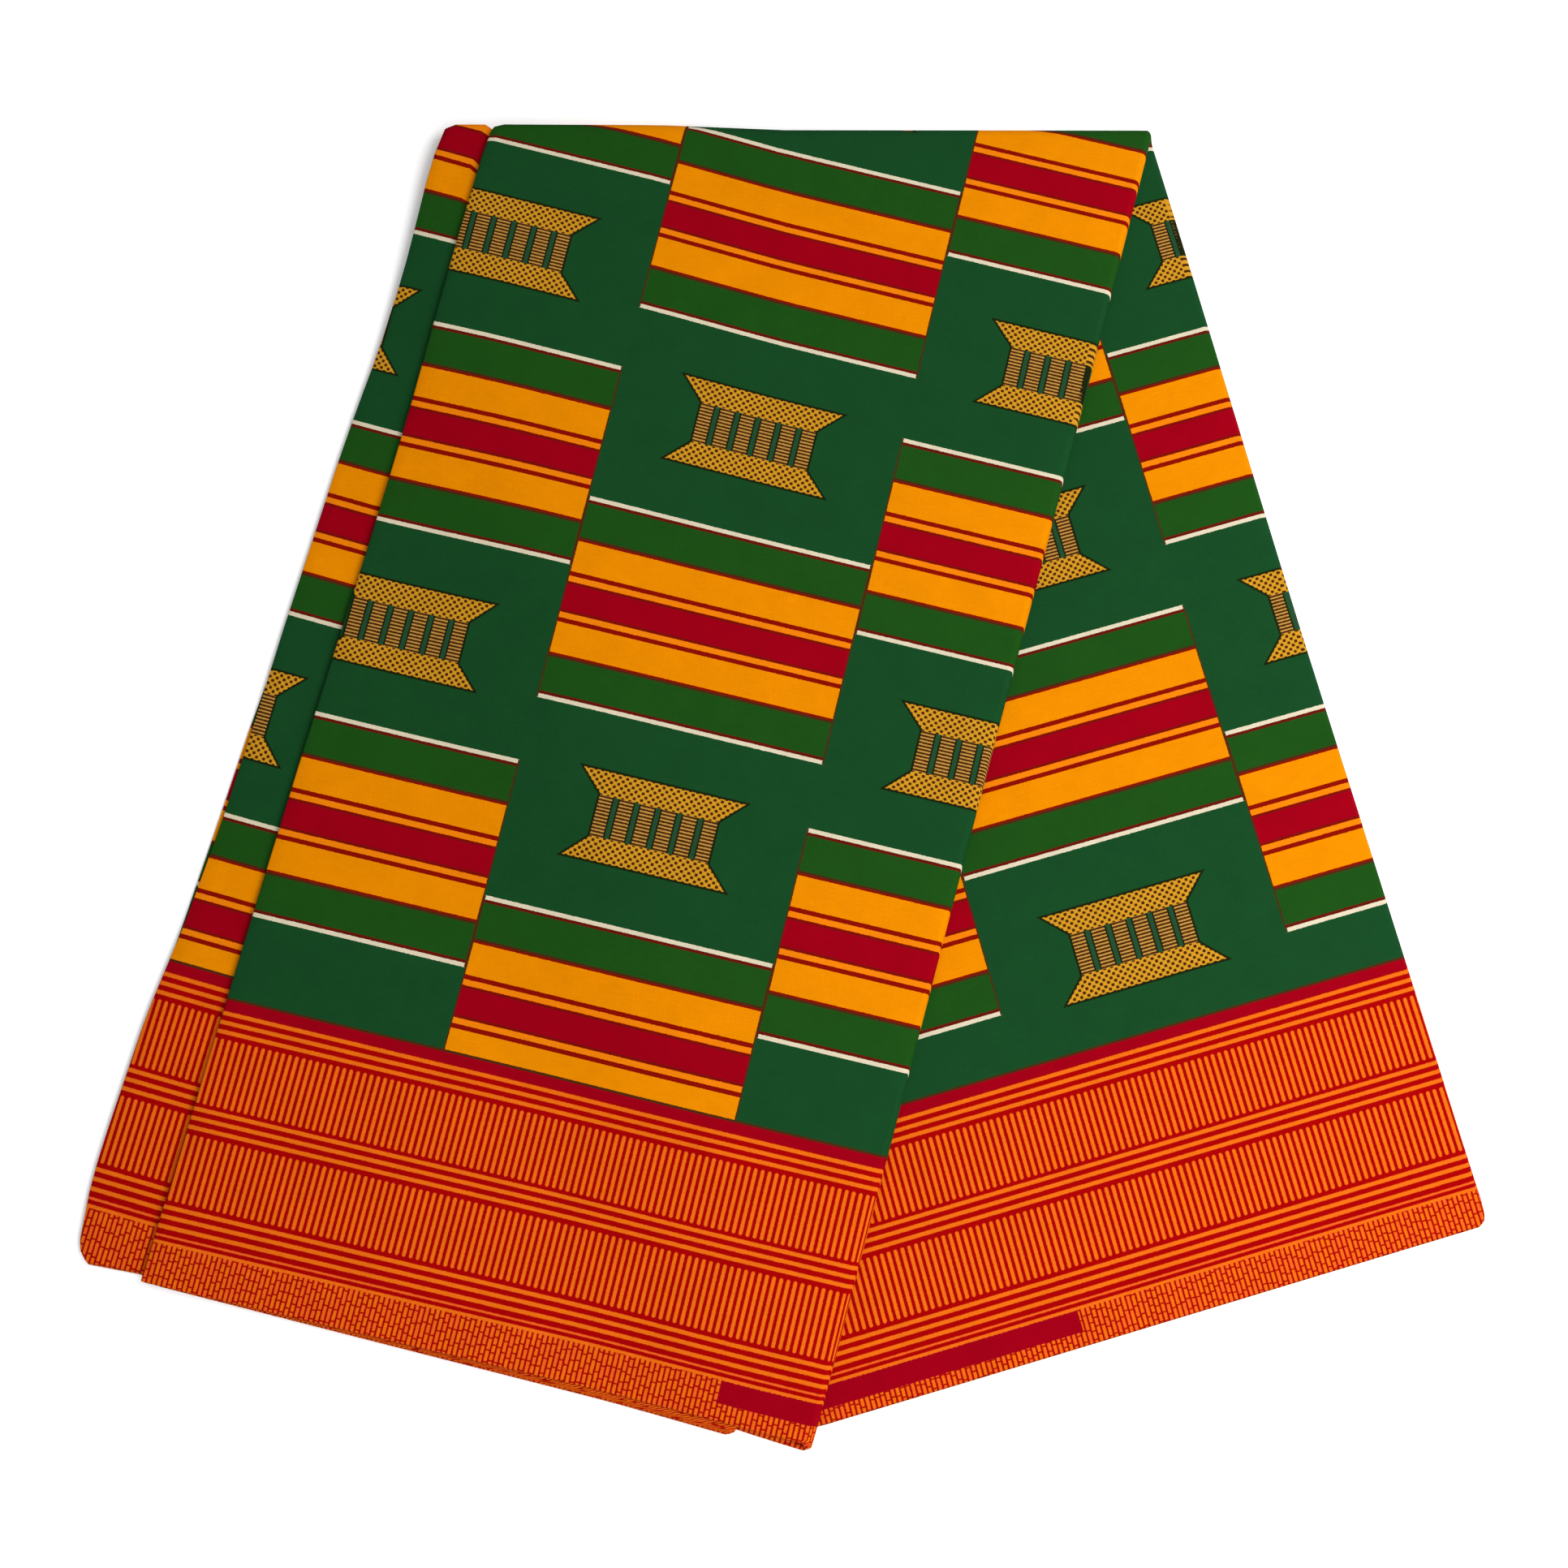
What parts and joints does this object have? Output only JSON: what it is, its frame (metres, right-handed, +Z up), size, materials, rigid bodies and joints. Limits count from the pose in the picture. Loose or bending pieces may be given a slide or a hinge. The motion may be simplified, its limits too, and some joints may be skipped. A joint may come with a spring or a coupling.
{
  "type": "folded printed cotton cloth with a kente pattern",
  "caption": "Length of thin printed cotton folded into a flat strip, then folded once across so that its two legs spread like an upside-down V and lie flat.",
  "frame": {"origin": "on the surface the cloth lies on, under the middle of its bounding box", "axes": "+Z up from the surface; +Y towards the cross fold at the top of the V; +X towards the leg that lies underneath"},
  "size_m": [0.6196, 0.6064, 0.0125],
  "materials": {
    "printed_cotton": "matte"
  },
  "bodies": {
    "root": {"cloth": "printed_cotton"}
  },
  "joints": []
}
